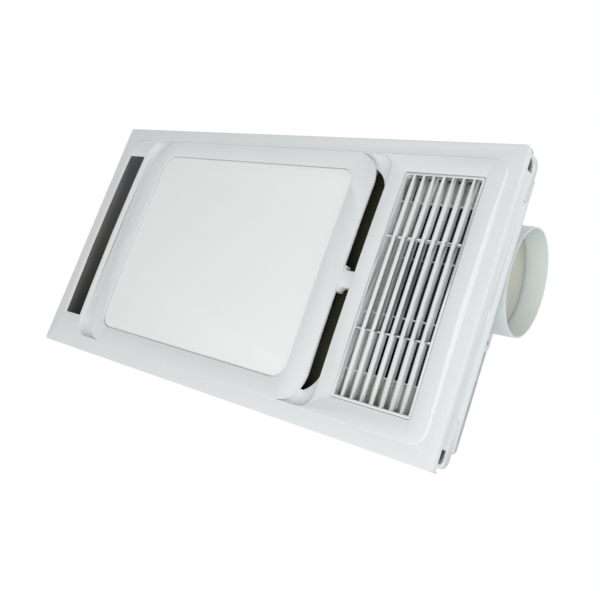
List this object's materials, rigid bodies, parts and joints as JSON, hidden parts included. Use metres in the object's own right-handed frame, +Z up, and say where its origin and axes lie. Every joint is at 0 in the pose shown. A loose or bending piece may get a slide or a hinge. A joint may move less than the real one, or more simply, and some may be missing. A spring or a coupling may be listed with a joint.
{
  "type": "bathroom ceiling heater",
  "caption": "White ceiling heater panel with a panel light between two warm-air slots, a louvred intake, a dark display strip and a round exhaust duct with a check flap.",
  "frame": {"origin": "centre of the plane through the rear rim of the face panel's skirt, which bears on the ceiling grid", "axes": "+Z up into the ceiling, +X along the panel towards the intake grille and duct, -Z out of the face"},
  "size_m": [0.6, 0.3, 0.1776],
  "materials": {
    "white_moulding": "satin white moulded plastic",
    "opal_acrylic": "flat opal acrylic",
    "white_inner_plastic": "matt white",
    "white_sheet": "white powder coat",
    "white_board": "white solder mask on aluminium",
    "led_phosphor": "yellow phosphor",
    "tinted_lens": "smoked gloss",
    "circuit_board": "green solder mask",
    "dark_foam": "closed-cell foam",
    "dark_rubber": "matt",
    "frame_plastic": "satin white",
    "zinc_sheet": "galvanised sheet",
    "beige_plastic": "light beige grey",
    "bright_steel": "ground steel",
    "grey_plastic": "light grey",
    "black_plastic": "satin black",
    "motor_steel": "zinc plated",
    "core_steel": "laminated steel",
    "copper_wire": "enamelled copper",
    "heat_plastic": "heat-proof brown",
    "bar_aluminium": "bare aluminium",
    "relay_plastic": "blue",
    "capacitor_sleeve": "dark sleeve",
    "natural_nylon": "natural nylon",
    "roof_plastic": "dark olive heat-proof plastic",
    "clip_steel": "dark spring steel",
    "zinc_screw": "zinc plated"
  },
  "bodies": {
    "body": {"face_panel": "white_moulding", "light_diffuser": "opal_acrylic", "light_spacer": "white_inner_plastic", "light_tray": "white_sheet", "led_boards": "white_board", "leds": "led_phosphor", "display_lens": "tinted_lens", "display_board": "circuit_board", "control_board": "circuit_board", "panel_gasket": "dark_foam", "motor_mounts": "dark_rubber", "support_frame": "frame_plastic", "housing": "zinc_sheet", "blower_deck": "zinc_sheet", "control_shelf": "zinc_sheet", "intake_baffle": "beige_plastic", "duct_spigot": "beige_plastic", "intake_liner": "black_plastic", "slot_roof": "roof_plastic", "lug_clips": "clip_steel", "flap_pin": "bright_steel", "motor_bearings": "bright_steel", "blower_scroll": "grey_plastic", "air_box": "grey_plastic", "motor_can": "motor_steel", "motor_stator": "core_steel", "motor_windings": "copper_wire", "door_motor": "black_plastic", "heater_frame": "heat_plastic", "heater_bars": "bar_aluminium", "heater_fins": "bar_aluminium", "thermal_cutout": "heat_plastic", "relays": "relay_plastic", "transformer": "core_steel", "capacitors": "capacitor_sleeve", "plug_sockets": "natural_nylon", "led_driver": "white_inner_plastic", "motor_capacitor": "white_inner_plastic", "supply_box": "grey_plastic", "supply_cover": "grey_plastic", "terminal_block": "natural_nylon", "cable_gland": "black_plastic", "panel_screws": "zinc_screw", "housing_screws": "zinc_screw", "spigot_screws": "zinc_screw", "scroll_screws": "zinc_screw", "motor_screws": "zinc_screw", "door_motor_screws": "zinc_screw", "board_screws": "zinc_screw", "supply_box_screws": "zinc_screw", "cover_screws": "zinc_screw"},
    "blower_wheel": {"impeller": "black_plastic", "motor_rotor": "core_steel", "motor_shaft": "bright_steel"},
    "diverter": {"diverter_door": "beige_plastic", "door_shaft": "bright_steel"},
    "flap": {"check_flap": "beige_plastic"},
    "grille": {"intake_grille": "white_moulding"}
  },
  "joints": [
    {"name": "blower_spin", "type": "hinge", "parent": "body", "child": "blower_wheel", "pos_m": [0.178, 0.066, 0.05], "axis": [0, 0, 1], "continuous": true},
    {"name": "diverter_swing", "type": "hinge", "parent": "body", "child": "diverter", "pos_m": [0.166, -0.094, 0.068], "axis": [0, 0, -1], "range_deg": [0, 30]},
    {"name": "flap_swing", "type": "hinge", "parent": "body", "child": "flap", "pos_m": [0.26076, -0.047, 0.07567], "axis": [0, -1, 0], "range_deg": [0, 75]},
    {"name": "grille_pull", "type": "slide", "parent": "body", "child": "grille", "axis": [0, 0, -1], "range_m": [0, 0.01]}
  ]
}
